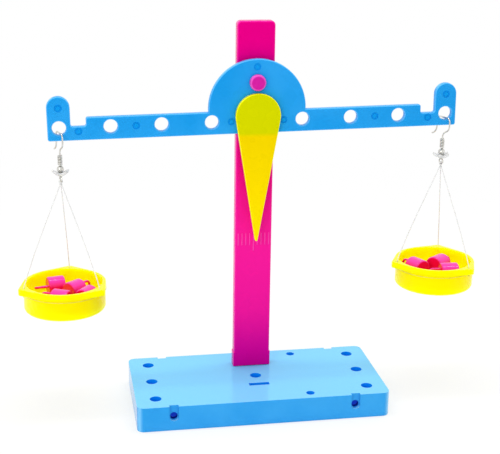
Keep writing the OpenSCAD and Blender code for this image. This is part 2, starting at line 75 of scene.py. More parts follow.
def meshFrom(bm, name="shape"):
    mesh = bpy.data.meshes.new(name)
    bm.to_mesh(mesh)
    bm.free()
    return mesh


# Camera

cameraView = {
    "place": (-86.69, -455.73, 223.88),  # mm
    "yaw": 0.1805,  # radians, towards +X
    "pitch": 0.2999,  # radians, downwards
    "roll": 0.0149,
    "lens": 81.36,
    "sensor": 36,
    "clip": (0.02, 20),  # metres
}


def makeCamera(view):
    data = bpy.data.cameras.new("camera")
    data.lens = view["lens"]
    data.sensor_width = view["sensor"]
    data.clip_start, data.clip_end = view["clip"]
    yaw, pitch = view["yaw"], view["pitch"]
    ahead = Vector((math.sin(yaw) * math.cos(pitch), math.cos(yaw) * math.cos(pitch), -math.sin(pitch)))
    right = Vector((math.cos(yaw), -math.sin(yaw), 0))
    turn = Matrix((right, right.cross(ahead), -ahead)).transposed().to_4x4()
    obj = linked("camera", data)
    obj.matrix_world = Matrix.Translation(Vector(view["place"]) * mm) @ turn @ Matrix.Rotation(view["roll"], 4, "Z")
    bpy.context.scene.camera = obj


makeCamera(cameraView)
print("camera placed")


# Materials


def linear(red, green, blue):
    # a screen colour, 0 to 255, as a linear one
    steps = [value / 255 for value in (red, green, blue)]
    return [v / 12.92 if v <= 0.04045 else ((v + 0.055) / 1.055) ** 2.4 for v in steps] + [1]


class Finish:
    def __init__(self, name):
        self.material = bpy.data.materials.new(name)
        self.material.use_nodes = True
        self.tree = self.material.node_tree
        self.shader = self.tree.nodes["Principled BSDF"]
        self.coords = self.add("ShaderNodeTexCoord")
        self.place = self.coords.outputs["Object"]

    def add(self, kind, **settings):
        node = self.tree.nodes.new(kind)
        for key, value in settings.items():
            setattr(node, key, value)
        return node

    def join(self, output, target):
        self.tree.links.new(output, target)

    def feed(self, output, socket):
        self.join(output, self.shader.inputs[socket])

    def put(self, **values):
        for key, value in values.items():
            self.shader.inputs[key.replace("_", " ")].default_value = value

    def math(self, operation, first, second=None):
        node = self.add("ShaderNodeMath", operation=operation)
        for socket, value in zip(node.inputs, (first, second)):
            if isinstance(value, (int, float)):
                socket.default_value = value
            elif value is not None:
                self.join(value, socket)
        return node.outputs[0]

    def noise(self, scale, detail=2, stretch=(1, 1, 1)):
        mapping = self.add("ShaderNodeMapping")
        mapping.inputs["Scale"].default_value = stretch
        self.join(self.place, mapping.inputs["Vector"])
        noise = self.add("ShaderNodeTexNoise")
        noise.inputs["Scale"].default_value = scale
        noise.inputs["Detail"].default_value = detail
        self.join(mapping.outputs["Vector"], noise.inputs["Vector"])
        return noise.outputs["Fac"]

    def ramp(self, value, stops):
        ramp = self.add("ShaderNodeValToRGB")
        elements = ramp.color_ramp.elements
        while len(elements) < len(stops):
            elements.new(0.5)
        for element, (position, colour) in zip(elements, stops):
            element.position = position
            element.color = linear(*colour)
        self.join(value, ramp.inputs["Fac"])
        return ramp.outputs["Color"]

    def spread(self, value, low, high, start=0.3, end=0.7):
        span = self.add("ShaderNodeMapRange")
        for key, number in (("From Min", start), ("From Max", end), ("To Min", low), ("To Max", high)):
            span.inputs[key].default_value = number
        self.join(value, span.inputs["Value"])
        return span.outputs["Result"]

    def blend(self, share, first, second):
        mix = self.add("ShaderNodeMix", data_type="RGBA", blend_type="MIX")
        if isinstance(share, (int, float)):
            mix.inputs["Factor"].default_value = share
        else:
            self.join(share, mix.inputs["Factor"])
        for socket, colour in ((mix.inputs[6], first), (mix.inputs[7], second)):
            if isinstance(colour, tuple):
                socket.default_value = linear(*colour)
            else:
                self.join(colour, socket)
        return mix.outputs[2]

    def bump(self, value, strength, depth):
        bump = self.add("ShaderNodeBump")
        bump.inputs["Strength"].default_value = strength
        bump.inputs["Distance"].default_value = depth
        self.join(value, bump.inputs["Height"])
        self.feed(bump.outputs["Normal"], "Normal")

    def clouds(self, scale, tones, detail=2):
        # a colour that wanders between two tones
        return self.ramp(self.noise(scale, detail), list(zip((0.3, 0.7), tones)))

    def uneven(self, scale, gloss, detail=2):
        # a roughness that wanders between two values
        self.feed(self.spread(self.noise(scale, detail), *gloss), "Roughness")

    def glow(self, weight, reach):
        # light that comes out again nearby, reach in millimetres
        self.put(Subsurface_Weight=weight, Subsurface_Radius=reach, Subsurface_Scale=mm)

    def parts(self, output):
        node = self.add("ShaderNodeSeparateXYZ")
        self.join(output, node.inputs[0])
        return node.outputs

    def along(self, axis, start, end):
        # 0 to 1 between two places along an axis, in millimetres
        return self.spread(self.parts(self.place)[axis], 0, 1, start * mm, end * mm)

    def edgeHighlightShare(self, flat=0.985, full=0.8):
        # 1 where the surface turns away from all three axes, as on the rounded edge of a plate: where the painted
        # edge highlight goes
        x, y, z = (self.math("ABSOLUTE", part) for part in self.parts(self.coords.outputs["Normal"]))
        most = self.math("MAXIMUM", self.math("MAXIMUM", x, y), z)
        return self.spread(most, 0, 1, flat, full)


plasticSkin = {
    "cloud": 60, "patch": 120, "ior": 1.5, "coatRough": 0.08,
    "peel": {"scale": 500, "strength": 0.05, "depth": 0.0002},
}


def mouldedPlastic(name, tones, gloss, tint, edge=None, run=None, top=None, glow=None, coat=0.0, paintedGlow=0.0):
    # glossy moulded plastic: clouded colour, uneven gloss, a faint orange-peel skin, and painted light where asked: a
    # painted highlight that makes rounded edges paler, paler tops, a colour run along an axis and a painted glow
    finish = Finish(name)
    peel = plasticSkin["peel"]
    colour = finish.clouds(plasticSkin["cloud"], tones, 3)
    if run:
        # painted light: the colour changes along an axis, as the light on or through the piece does
        share = finish.along(run["axis"], run["start"], run["end"])
        colour = finish.blend(run["share"], colour, finish.ramp(share, run["stops"]))
    if top:
        # painted light: paler where the surface faces up, as under light from above
        facing = finish.parts(finish.coords.outputs["Normal"])["Z"]
        share = finish.spread(facing, 0, top["share"], top["start"], top["end"])
        colour = finish.blend(share, colour, top["tone"])
    if edge:
        # painted highlight: paler on the rounded edges
        share = finish.math("MULTIPLY", finish.edgeHighlightShare(), edge["share"])
        colour = finish.blend(share, colour, edge["tone"])
    finish.feed(colour, "Base Color")
    finish.uneven(plasticSkin["patch"], gloss)
    finish.bump(finish.noise(peel["scale"]), peel["strength"], peel["depth"])
    finish.put(IOR=plasticSkin["ior"], Specular_Tint=linear(*tint))
    if paintedGlow:
        # painted glow: the plastic gives out faint light in its own tint, which lifts its shade
        finish.put(Emission_Color=linear(*tint), Emission_Strength=paintedGlow)
    if coat:
        finish.put(Coat_Weight=coat, Coat_Roughness=plasticSkin["coatRough"])
    if glow:
        finish.glow(**glow)
    return finish.material


plasticTones = {
    "trayPlastic": {
        "tones": ((48, 156, 228), (62, 166, 234)), "gloss": (0.1, 0.16), "tint": (60, 160, 240),
        # painted highlight: paler on the rounded edges
        "edge": {"tone": (150, 218, 255), "share": 0.55},
        # painted light: paler on the faces that look up
        "top": {"tone": (122, 207, 254), "share": 0.9, "start": 0.7, "end": 0.98},
    },
    # hole walls: a brighter copy of the tray's blue with a painted glow, painted light in the holes
    "borePaintedLight": {
        "tones": ((4, 146, 246), (14, 156, 252)), "gloss": (0.3, 0.4), "tint": (0, 124, 224), "paintedGlow": 0.05,
    },
    # axle bores: a navy copy of the tray's blue, painted shade in the bores
    "axleBorePaintedShade": {"tones": ((16, 44, 150), (24, 56, 164)), "gloss": (0.3, 0.4), "tint": (20, 50, 160)},
    "beamPlastic": {
        "tones": ((28, 152, 228), (46, 162, 236)), "gloss": (0.25, 0.34), "tint": (30, 155, 235),
        # painted highlight: paler on the rounded edges
        "edge": {"tone": (112, 200, 255), "share": 0.6},
    },
    "markPlastic": {"tones": ((12, 146, 226), (22, 154, 234)), "gloss": (0.3, 0.4), "tint": (18, 148, 228)},
    "columnPlastic": {
        "tones": ((224, 0, 128), (232, 4, 136)), "gloss": (0.22, 0.3), "tint": (228, 0, 130),
        # painted highlight: paler on the rounded edges
        "edge": {"tone": (248, 40, 168), "share": 0.75},
        # painted light and shade up the column: darker at the foot and towards the top, palest low down
        "run": {
            "axis": "Z", "start": 11, "end": 167, "share": 0.9,
            "stops": [
                (0.0, (206, 0, 138)), (0.05, (220, 6, 146)), (0.18, (244, 24, 152)), (0.4, (248, 30, 154)),
                (0.75, (234, 2, 134)), (1.0, (230, 0, 131)),
            ],
        },
    },
    # painted highlight: the raised ticks in a paler pink than the column
    "tickPaintedHighlight": {"tones": ((246, 62, 172), (250, 80, 184)), "gloss": (0.3, 0.4), "tint": (250, 90, 190)},
    "pinPlastic": {
        "tones": ((196, 24, 148), (208, 34, 158)), "gloss": (0.2, 0.28), "tint": (205, 30, 155),
        # painted highlight: paler on the rounded edges
        "edge": {"tone": (236, 92, 200), "share": 0.85},
    },
    "weightPlastic": {
        # painted reflection: red where the faces turn from up, standing in for the yellow pan's light; painted light:
        # pink where they face up
        "tones": ((232, 6, 58), (240, 12, 76)), "gloss": (0.2, 0.28), "tint": (240, 20, 110), "coat": 0.35,
        "top": {"tone": (248, 58, 178), "share": 0.95, "start": 0.05, "end": 0.75},
    },
    "panPlastic": {
        "tones": ((255, 250, 0), (255, 254, 4)), "gloss": (0.24, 0.32), "tint": (255, 245, 0),
        # a painted glow, on top of the light scattered in the plastic, lifts the pan's shade
        "glow": {"weight": 1.0, "reach": (7, 7, 1.5)}, "paintedGlow": 0.1,
    },
    "pointerPlastic": {
        "tones": ((224, 224, 0), (232, 230, 0)), "gloss": (0.24, 0.32), "tint": (240, 215, 0),
        # painted highlight: paler on the rounded edges
        "edge": {"tone": (255, 252, 6), "share": 0.95},
        # painted see-through light: warm yellow low down, where the pink column lies behind, greener high up over the
        # blue beam
        "run": {
            "axis": "Z", "start": 72, "end": 137, "share": 0.9,
            "stops": [
                (0.0, (252, 226, 4)), (0.35, (250, 216, 0)), (0.725, (240, 206, 0)), (0.75, (206, 209, 0)),
                (1.0, (204, 211, 0)),
            ],
        },
    },
}
steelLook = {
    "tones": ((196, 194, 186), (226, 225, 220)), "cloud": 900, "polish": (0.14, 0.28), "patch": 1500,
    "streak": {"scale": 2600, "stretch": (1, 1, 0.1), "strength": 0.08, "depth": 0.0001},
}
beadLook = {
    "tones": ((216, 216, 215), (230, 230, 229)), "cloud": 300, "polish": (0.4, 0.55), "patch": 700,
    "skin": {"scale": 900, "strength": 0.06, "depth": 0.0001},
    "clear": 0.05, "ior": 1.45, "glow": {"weight": 0.3, "reach": (2, 2, 2)},
}
threadLook = {
    "cloud": 700, "polish": (0.28, 0.45), "patch": 1200, "ior": 1.5,
    "twist": {"scale": 900, "strength": 0.25, "depth": 0.00006},
}
threadTones = {
    "threadNylon": {"clear": 0.0, "tones": ((218, 218, 216), (238, 238, 236))},
    # painted reflection: the band is tinted with the pan's yellow
    "bandNylonPaintedYellow": {"clear": 0.7, "tones": ((252, 242, 60), (255, 248, 110))},
}


def polishedSteel(name):
    # drawn wire: streaks along it and a slightly uneven polish
    finish = Finish(name)
    streak = steelLook["streak"]
    finish.feed(finish.clouds(steelLook["cloud"], steelLook["tones"]), "Base Color")
    finish.uneven(steelLook["patch"], steelLook["polish"])
    finish.bump(finish.noise(streak["scale"], stretch=streak["stretch"]), streak["strength"], streak["depth"])
    finish.put(Metallic=1.0)
    return finish.material


def clearBead(name):
    # frosted clear plastic
    finish = Finish(name)
    skin = beadLook["skin"]
    finish.feed(finish.clouds(beadLook["cloud"], beadLook["tones"]), "Base Color")
    finish.uneven(beadLook["patch"], beadLook["polish"])
    finish.bump(finish.noise(skin["scale"]), skin["strength"], skin["depth"])
    finish.put(Transmission_Weight=beadLook["clear"], IOR=beadLook["ior"])
    finish.glow(**beadLook["glow"])
    return finish.material


def nylonThread(name, clear, tones):
    # nylon with a fine twist along the thread, see-through by the share that clear gives
    finish = Finish(name)
    twist = threadLook["twist"]
    finish.feed(finish.clouds(threadLook["cloud"], tones), "Base Color")
    finish.uneven(threadLook["patch"], threadLook["polish"], 1)
    wave = finish.add("ShaderNodeTexWave", wave_type="BANDS", bands_direction="DIAGONAL")
    wave.inputs["Scale"].default_value = twist["scale"]
    finish.join(finish.place, wave.inputs["Vector"])
    finish.bump(wave.outputs["Fac"], twist["strength"], twist["depth"])
    finish.put(IOR=threadLook["ior"], Transmission_Weight=clear)
    return finish.material


materials = {name: mouldedPlastic(name, **tones) for name, tones in plasticTones.items()}
materials["hookSteel"] = polishedSteel("hookSteel")
materials["beadClear"] = clearBead("beadClear")
materials.update({name: nylonThread(name, **tones) for name, tones in threadTones.items()})
print("materials made:", len(materials))


# Outlines, in millimetres


def ring(x, y, r, count=48):
    return [(x + r * math.cos(math.tau * i / count), y + r * math.sin(math.tau * i / count)) for i in range(count)]


def arc(x, y, r, start, end, count):
    turns = [math.radians(start + (end - start) * i / count) for i in range(count + 1)]
    return [(x + r * math.cos(a), y + r * math.sin(a)) for a in turns]


def cornered(corners, steps=6):
    # an outline through corners (x, y, radius), each rounded by its radius
    outline = []
    for i, (x, y, r) in enumerate(corners):
        corner = Vector((x, y))
        back = (Vector(corners[i - 1][:2]) - corner).normalized()
        on = (Vector(corners[(i + 1) % len(corners)][:2]) - corner).normalized()
        half = back.angle(on) / 2
        if not r:
            outline.append((x, y))
            continue
        middle = corner + (back + on).normalized() * r / math.sin(half)
        first = corner + back * r / math.tan(half) - middle
        turn = -first.angle_signed(corner + on * r / math.tan(half) - middle)
        for step in range(steps + 1):
            point = middle + Matrix.Rotation(turn * step / steps, 2) @ first
            outline.append((point.x, point.y))
    return outline


def block(x, y, w, d, r=0.0):
    # a rectangle by its middle
    return cornered([
        (x - w / 2, y - d / 2, r), (x + w / 2, y - d / 2, r), (x + w / 2, y + d / 2, r), (x - w / 2, y + d / 2, r),
    ])


# Shared steps for the pieces

weld = 0.0005  # mm, points closer than this become one
slack = 0.01  # mm, for telling which faces and edges lie where
over = 1  # mm, how far a cutting or joining shape reaches past a face


def resultOf(obj):
    # what a curve or a mesh object comes to, as a bmesh; the object itself is removed
    mesh = bpy.data.meshes.new_from_object(obj.evaluated_get(bpy.context.evaluated_depsgraph_get()))
    bm = bmesh.new()
    bm.from_mesh(mesh)
    bpy.data.meshes.remove(mesh)
    bpy.data.objects.remove(obj)
    bmesh.ops.remove_doubles(bm, verts=bm.verts, dist=weld)
    return bm


def plate(outlines, thickness, edge=0.0, steps=3, hollows=()):
    # flat outlines with holes, made a plate with rounded edges: it lies in XY with its middle at height 0
    data = bpy.data.curves.new("outline", "CURVE")
    data.dimensions = "2D"
    data.fill_mode = "BOTH"
    data.extrude = thickness / 2 - edge
    data.bevel_depth = edge
    data.bevel_resolution = steps
    data.offset = -edge
    for outline in list(outlines) + [list(reversed(hollow)) for hollow in hollows]:
        spline = data.splines.new("POLY")
        spline.points.add(len(outline) - 1)
        for point, (x, y) in zip(spline.points, outline):
            point.co = (x, y, 0, 1)
        spline.use_cyclic_u = True
    bm = resultOf(linked("shape", data))
    bmesh.ops.recalc_face_normals(bm, faces=bm.faces)
    return bm


def moved(bm, matrix):
    bmesh.ops.transform(bm, matrix=matrix, verts=bm.verts)
    return bm


def upright(bm, y):
    # stands a flat plate up, facing -Y, with its middle at y
    return moved(bm, Matrix.Translation((0, y, 0)) @ Matrix.Rotation(math.radians(90), 4, "X"))


def lifted(bm, low, high):
    # moves a flat plate so that it lies between two heights
    return moved(bm, Matrix.Translation((0, 0, (low + high) / 2)))


def together(*shapes):
    bm = bmesh.new()
    for shape in shapes:
        mesh = meshFrom(shape)
        bm.from_mesh(mesh)
        bpy.data.meshes.remove(mesh)
    return bm


def carve(bm, tool, operation="DIFFERENCE"):
    # cuts one closed shape out of another, or joins the two
    shape, other = linked("shape", meshFrom(bm)), linked("shape", meshFrom(tool))
    cut = shape.modifiers.new("cut", "BOOLEAN")
    cut.operation = operation
    cut.solver = "EXACT"
    cut.object = other
    result = resultOf(shape)
    bpy.data.objects.remove(other)
    return result


def turned(profile, axis, steps=48):
    # a profile of (radius, height) spun about an axis through the origin
    bm = bmesh.new()
    verts = [bm.verts.new((r, 0, h)) for r, h in profile]
    edges = [bm.edges.new(pair) for pair in zip(verts, verts[1:])]
    bmesh.ops.spin(
        bm, geom=verts + edges, cent=(0, 0, 0), axis=(0, 0, 1), angle=math.tau, steps=steps, use_merge=True,
    )
    bmesh.ops.remove_doubles(bm, verts=bm.verts, dist=weld)
    bmesh.ops.recalc_face_normals(bm, faces=bm.faces)
    return moved(bm, Vector((0, 0, 1)).rotation_difference(Vector(axis)).to_matrix().to_4x4())


def roundCurve(name, diameter, facets):
    data = bpy.data.curves.new(name, "CURVE")
    data.dimensions = "3D"
    data.bevel_depth = diameter / 2
    data.bevel_resolution = facets
    data.use_fill_caps = True
    return data


def wire(points, diameter, closed=False, facets=5):
    # a round wire along a route
    data = roundCurve("route", diameter, facets)
    spline = data.splines.new("POLY")
    spline.points.add(len(points) - 1)
    for point, place in zip(spline.points, points):
        point.co = (*place, 1)
    spline.use_cyclic_u = closed
    bm = resultOf(linked("shape", data))
    bmesh.ops.recalc_face_normals(bm, faces=bm.faces)
    return bm


def soften(bm, width, segments, wanted, sharp=50):
    # rounds the edges that are wanted and turn by more than sharp degrees
    edges = [
        edge for edge in bm.edges
        if len(edge.link_faces) == 2 and edge.calc_face_angle() > math.radians(sharp) and wanted(edge)
    ]
    bmesh.ops.bevel(
        bm, geom=edges, offset=width, offset_type="OFFSET", segments=segments, profile=0.5,
        affect="EDGES", clamp_overlap=True, material=-1,
    )
    return bm


def place(name, data, material, *stoodFor):
    # a finished piece gets its material and rides with the body of the first node that it stands for, and the nodes
    # that it stands for are hidden
    obj = linked(name, data)
    data.materials.append(materials[material])
    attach(obj, nodes[stoodFor[0]]["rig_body"])
    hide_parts(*stoodFor)
    return obj


def placeMesh(name, bm, material, *stoodFor, crease=35, more=()):
    moved(bm, Matrix.Scale(mm, 4))
    mesh = meshFrom(bm, name)
    mesh.shade_smooth()
    mesh.set_sharp_from_angle(angle=math.radians(crease))
    obj = place(name, mesh, material, *stoodFor)
    for other in more:
        mesh.materials.append(materials[other])
    evenNormals = obj.modifiers.new("evenNormals", "WEIGHTED_NORMAL")
    evenNormals.keep_sharp = True
    return obj


def recolour(bm, index, wanted):
    # gives the faces that are wanted another of the piece's materials
    for face in bm.faces:
        if wanted([v.co for v in face.verts]):
            face.material_index = index


def near(points, spots, reach, across=1):
    # whether all the points lie within reach of one spot, seen along Z, or along Y where across is 2
    return any(all(math.hypot(p.x - x, p[across] - y) < reach for p in points) for x, y in spots)


def hangPoint(side):
    return Vector(joints[f"{side}_hook_swing"]["pos_m"]) / mm


def panRim(side):
    # middle of the pan's rim: below the hook, at the height of the pan's top
    hang = hangPoint(side)
    return Vector((hang.x, hang.y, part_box(f"{side}_pan")[1].z / mm))


# Threads

threadRun = {
    "diameter": 0.4,  # mm, as all lengths here
    "length": 49.8, "smooth": 4, "facets": 3,
    "turn": {"left": -8, "right": -24},  # degrees
    "lobes": {"rear": 90, "left": 210, "right": 330},
    "route": [  # distance from the pan's axis, height above its rim
        (0.4, 43), (1.5, 40.5), (2.6, 38), (4.9, 33), (6, 30.5), (7.1, 28), (9.2, 23.4), (11.2, 18.8),
        (13.1, 14.4), (14.8, 10), (16.4, 6), (17.6, 2.6), (18.2, 0.8), (18.4, -0.6), (18.4, -3.2),
    ],
}


def threadPoints(side, lobe):
    turn = math.radians(threadRun["lobes"][lobe] + threadRun["turn"][side])
    outwards = Vector((math.cos(turn), math.sin(turn), 0))
    return [(panRim(side) + outwards * r + Vector((0, 0, z))) * mm for r, z in threadRun["route"]]


def makeThread(side, lobe):
    points = threadPoints(side, lobe)
    data = roundCurve(f"{side}Thread{lobe.title()}", threadRun["diameter"] * mm, threadRun["facets"])
    data.resolution_u = threadRun["smooth"]
    spline = data.splines.new("BEZIER")
    spline.bezier_points.add(len(points) - 1)
    for bezier, point in zip(spline.bezier_points, points):
        bezier.co = point
        bezier.handle_left_type = bezier.handle_right_type = "AUTO"
    obj = place(data.name, data, "threadNylon", f"{side}_thread_{lobe}")


for side in sides:
    for lobe in threadRun["lobes"]:
        makeThread(side, lobe)
print("threads laid")


# Base

tray = {
    "width": 110, "depth": 52, "height": 11, "corner": 3, "edge": 0.9, "wall": 2, "innerCorner": 1.2,
    "peg": {"d": 5, "x": 46.5, "pitch": 17.5, "tubeWall": 1.5},
    "small": {"d": 3.7, "x": 20.3, "y": 21.2},
    "slit": {"y": -9, "length": 9, "width": 2.4, "margin": 0.3},
    "axle": {"d": 3.2, "x": 39.5, "z": 6.2, "groove": 3.9, "grooveDepth": 1.5, "pad": 8},
    "socket": {"y": 13.1, "width": 14.9, "depth": 3.6, "wall": 1.6},
    "rim": 0.35,  # rounding round the holes
}


def trayPegs():
    peg = tray["peg"]
    return [(x, row * peg["pitch"]) for x in (-peg["x"], peg["x"]) for row in (-1, 0, 1)] + [(0, 0)]


def traySmalls():
    return [(tray["small"]["x"], y) for y in (-tray["small"]["y"], tray["small"]["y"])]


def trayBlock():
    w, d, h = tray["width"], tray["depth"], tray["height"]
    bm = plate([block(0, 0, w, d, tray["corner"])], h)
    lifted(bm, 0, h)
    return soften(bm, tray["edge"], 4, lambda edge: min(v.co.z for v in edge.verts) > h - slack)


def trayHollow():
    # the space under the top, with the tubes, the socket and the pads behind the grooves left standing
    axle, peg, socket = tray["axle"], tray["peg"], tray["socket"]
    w, d = tray["width"] / 2 - tray["wall"], tray["depth"] / 2 - tray["wall"]
    inward, inner = d - axle["grooveDepth"], tray["innerCorner"]
    half = axle["pad"] / 2
    front = [(-w, -d, inner)]
    for x in (-axle["x"], axle["x"]):
        front += [(x - half, -d, 0), (x - half, -inward, 0), (x + half, -inward, 0), (x + half, -d, 0)]
    front.append((w, -d, inner))
    outline = cornered(front + [(-x, -y, r) for x, y, r in front])
    tubes = [ring(x, y, peg["d"] / 2 + peg["tubeWall"]) for x, y in trayPegs()]
    sleeve = block(0, socket["y"], socket["width"] + 2 * socket["wall"], socket["depth"] + 2 * socket["wall"])
    roof = tray["height"] - tray["wall"]
    return lifted(plate([outline], roof + over, hollows=[*tubes, sleeve]), -over, roof)


def makeTray():
    axle, peg, small, slit, socket = (tray[key] for key in ("axle", "peg", "small", "slit", "socket"))
    h = tray["height"]
    bm = carve(trayBlock(), trayHollow())
    tubes = [ring(x, y, small["d"] / 2 + peg["tubeWall"]) for x, y in traySmalls()]
    bm = carve(bm, lifted(plate(tubes, h - over), 0, h - over), "UNION")
    holes = [ring(x, y, peg["d"] / 2) for x, y in trayPegs()]
    holes += [ring(x, y, small["d"] / 2) for x, y in traySmalls()]
    holes.append(block(0, slit["y"], slit["length"], slit["width"]))
    holes.append(block(0, socket["y"], socket["width"], socket["depth"]))
    bm = carve(bm, lifted(plate(holes, h + 2 * over), -over, h + over))
    inside = tray["depth"] / 2 - tray["wall"]
    column = socket["width"] / 2 + over

    def holeRim(edge):
        ends = [v.co for v in edge.verts]
        atSocket = all(abs(p.x) < column and abs(p.y - socket["y"]) < socket["depth"] for p in ends)
        return all(p.z > h - slack and abs(p.y) < inside for p in ends) and not atSocket

    soften(bm, tray["rim"], 3, holeRim)
    r, z = axle["groove"] / 2, axle["z"]
    slots, bores = [], []
    for x in (-axle["x"], axle["x"]):
        slots.append(arc(x, z, r, 180, 360, 24) + [(x + r, h + over), (x - r, h + over)])
        bores.append(ring(x, z, axle["d"] / 2, 32))
    for facing in (-1, 1):
        face = facing * tray["depth"] / 2
        bm = carve(bm, upright(plate(slots, 2 * axle["grooveDepth"]), face))
        bm = carve(bm, upright(plate(bores, 3 * tray["wall"] + 2 * over), face))
    axles = [(x, z) for x in (-axle["x"], axle["x"])]
    # painted light: the hole walls take a brighter blue with a painted glow
    recolour(bm, 1, lambda points: near(points, trayPegs(), peg["d"] / 2 + slack)
             or near(points, traySmalls(), small["d"] / 2 + slack)
             or near(points, [(0, slit["y"])], slit["length"] / 2 + slit["margin"]))
    # painted shade: the axle bores take a navy blue
    recolour(bm, 2, lambda points: near(points, axles, axle["d"] / 2 + slack, 2))
    placeMesh("baseTray", bm, "trayPlastic", "base", more=("borePaintedLight", "axleBorePaintedShade"))


makeTray()
print("base made")


# Column

post = {
    "width": 16.3, "depth": 5, "front": 10.6, "foot": 11, "top": 167, "edge": 0.8, "topCorner": 1.9,
    "collar": {"height": 7, "proud": 0.3, "edge": 0.45, "lift": 0.02},
    "tenon": {"length": 8, "step": 0.8},
    "boss": {"d": 10, "height": 1.1},
    "tick": {
        "pitch": 1.7, "count": 4, "width": 0.4, "length": 5.5, "extra": 2.6, "proud": 0.25, "z": 69, "edge": 0.1,
    },
    "pinHole": 5.04, "pinZ": 141.9, "corner": 0.2,
}


def makeColumn():
    collar, tenon, boss, tick = (post[key] for key in ("collar", "tenon", "boss", "tick"))
    half, foot, top = post["width"] / 2, post["foot"], post["top"]
    middle = post["front"] + post["depth"] / 2
    small, large = post["corner"], post["topCorner"]
    outline = cornered([(-half, foot, small), (half, foot, small), (half, top, large), (-half, top, large)])
    bm = upright(plate([outline], post["depth"], post["edge"], 4), middle)
    wide = 2 * (half + collar["proud"])
    sleeve = block(0, foot + collar["height"] / 2, wide, collar["height"], collar["edge"])
    sleeve = upright(plate([sleeve], post["depth"] + 2 * collar["lift"], collar["edge"]), middle)
    r, deep = boss["d"] / 2, boss["height"] + over
    hub = turned([(0, 0), (r, 0), (r, deep), (0, deep)], (0, 1, 0))
    moved(hub, Matrix.Translation((0, post["front"] - boss["height"], post["pinZ"])))
    marks = []
    for i in range(-tick["count"], tick["count"] + 1):
        length = tick["length"] + (tick["extra"] if i == 0 else 0)
        marks.append(block(
            i * tick["pitch"], tick["z"] + tick["length"] - length / 2, tick["width"], length, tick["edge"],
        ))
    scale = upright(plate(marks, 2 * tick["proud"], tick["edge"], 2), post["front"])
    bm = carve(bm, together(sleeve, hub, scale), "UNION")
    tongue = block(0, middle, post["width"] - 2 * tenon["step"], post["depth"] - 2 * tenon["step"], small)
    bm = carve(bm, lifted(plate([tongue], tenon["length"] + over), foot - tenon["length"], foot + over), "UNION")
    bm = carve(bm, upright(plate([ring(0, post["pinZ"], post["pinHole"] / 2)], 4 * post["depth"]), middle))
    shown = post["front"] - tick["proud"] / 2
    # painted highlight: the ticks take a paler pink
    recolour(bm, 1, lambda points: min(p.y for p in points) < shown and points[0].z < tick["z"] + 2 * tick["length"])
    placeMesh("columnPost", bm, "columnPlastic", "column", more=("tickPaintedHighlight",))


makeColumn()
print("column made")


# Pivot pin

pin = {"shank": 5, "head": 7, "headHeight": 2.2, "round": 1.2, "end": 15.6, "endRound": 0.3, "lip": 0.15}


def makePin():
    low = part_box("pivot_pin")[0].y / mm
    r, e, shank = pin["head"] / 2, pin["round"], pin["shank"] / 2
    length = pin["end"] - low
    back, lip = pin["headHeight"], pin["lip"]
    profile = [(0, 0)] + arc(r - e, e, e, -90, 0, 8) + [(r, back - lip), (r - lip, back), (shank, back)]
    profile += [(shank, length - pin["endRound"]), (shank - pin["endRound"], length), (0, length)]
    bm = turned(profile, (0, 1, 0), 56)
    moved(bm, Matrix.Translation((0, low, post["pinZ"])))
    placeMesh("pivotPin", bm, "pinPlastic", "pivot_pin", crease=50)


makePin()
print("pin made")


# Beam and pointer

bar = {
    "thickness": 2.8, "tilt": 1, "pinAbove": 16.3, "edge": 0.6, "hole": 5.8, "firstHole": 19.5, "pitch": 21.2,
    "holes": 4, "above": 4.2, "below": 5.4, "corner": 0.9, "pinHole": 5.12,
    "ear": {"width": 9.6, "above": 13.2}, "notch": {"width": 6.3, "floor": 0.5}, "dome": {"r": 20.9, "z": 5.2},
    "mark": {"r": 1.6, "inner": 0.85, "depth": 0.3, "hub": 11.2, "notchDrop": 2},
}
needle = {
    "thickness": 2.5, "head": 9.7, "drop": 14.1, "reach": 69.2, "tip": 0.6, "lean": 1.1, "edge": 0.55,
    "stud": 3, "studX": 5, "studGap": 0.05, "studShort": 0.5, "studEdge": 0.2,
}


def beamFrame():
    # the beam's own frame: the line of holes lies at height 0
    pivot = Vector(joints["beam_tilt"]["pos_m"]) / mm
    tilt = Matrix.Rotation(math.radians(-bar["tilt"]), 4, "Y")
    return Matrix.Translation((pivot.x, 0, pivot.z)) @ tilt @ Matrix.Translation((0, 0, -bar["pinAbove"]))


def needleStuds(r):
    turn = math.radians(-needle["lean"])
    height = bar["pinAbove"] - needle["drop"]
    return [
        ring(x * math.cos(turn), height + x * math.sin(turn), r, 32) for x in (-needle["studX"], needle["studX"])
    ]


def beamOutline():
    ear, notch, dome = bar["ear"], bar["notch"], bar["dome"]
    end = bar["firstHole"] + (bar["holes"] - 1) * bar["pitch"] + ear["width"] / 2
    inner, outer = end - ear["width"] - notch["width"], end - ear["width"]
    dip = math.degrees(math.asin((bar["above"] - dome["z"]) / dome["r"]))
    crown = ear["width"] / 2 - slack  # the ear ends in almost a half circle
    c = bar["corner"]
    right = [
        (end, -bar["below"], c), (end, ear["above"], crown), (outer, ear["above"], crown),
        (outer, notch["floor"], c), (inner, notch["floor"], c), (inner, bar["above"], c),
    ]
    hub = [(x, y, 0) for x, y in arc(0, dome["z"], dome["r"], dip, 180 - dip, 96)]
    return cornered(right + hub + [(-x, y, r) for x, y, r in reversed(right)], 10)


def markPlaces():
    # where the mould's ejector pins left their rings
    ear, notch, dome, mark = bar["ear"], bar["notch"], bar["dome"], bar["mark"]
    last = bar["firstHole"] + (bar["holes"] - 1) * bar["pitch"]
    places = [(0, dome["z"] + dome["r"] - 2 * mark["r"])]
    for way in (-1, 1):
        places += [
            (way * last, ear["above"] - ear["width"] / 2),
            (way * (last - ear["width"] / 2 - notch["width"] / 2), notch["floor"] - mark["notchDrop"]),
            (way * (bar["firstHole"] + 1.5 * bar["pitch"]), 0),
            (way * mark["hub"], 0),
        ]
    return places


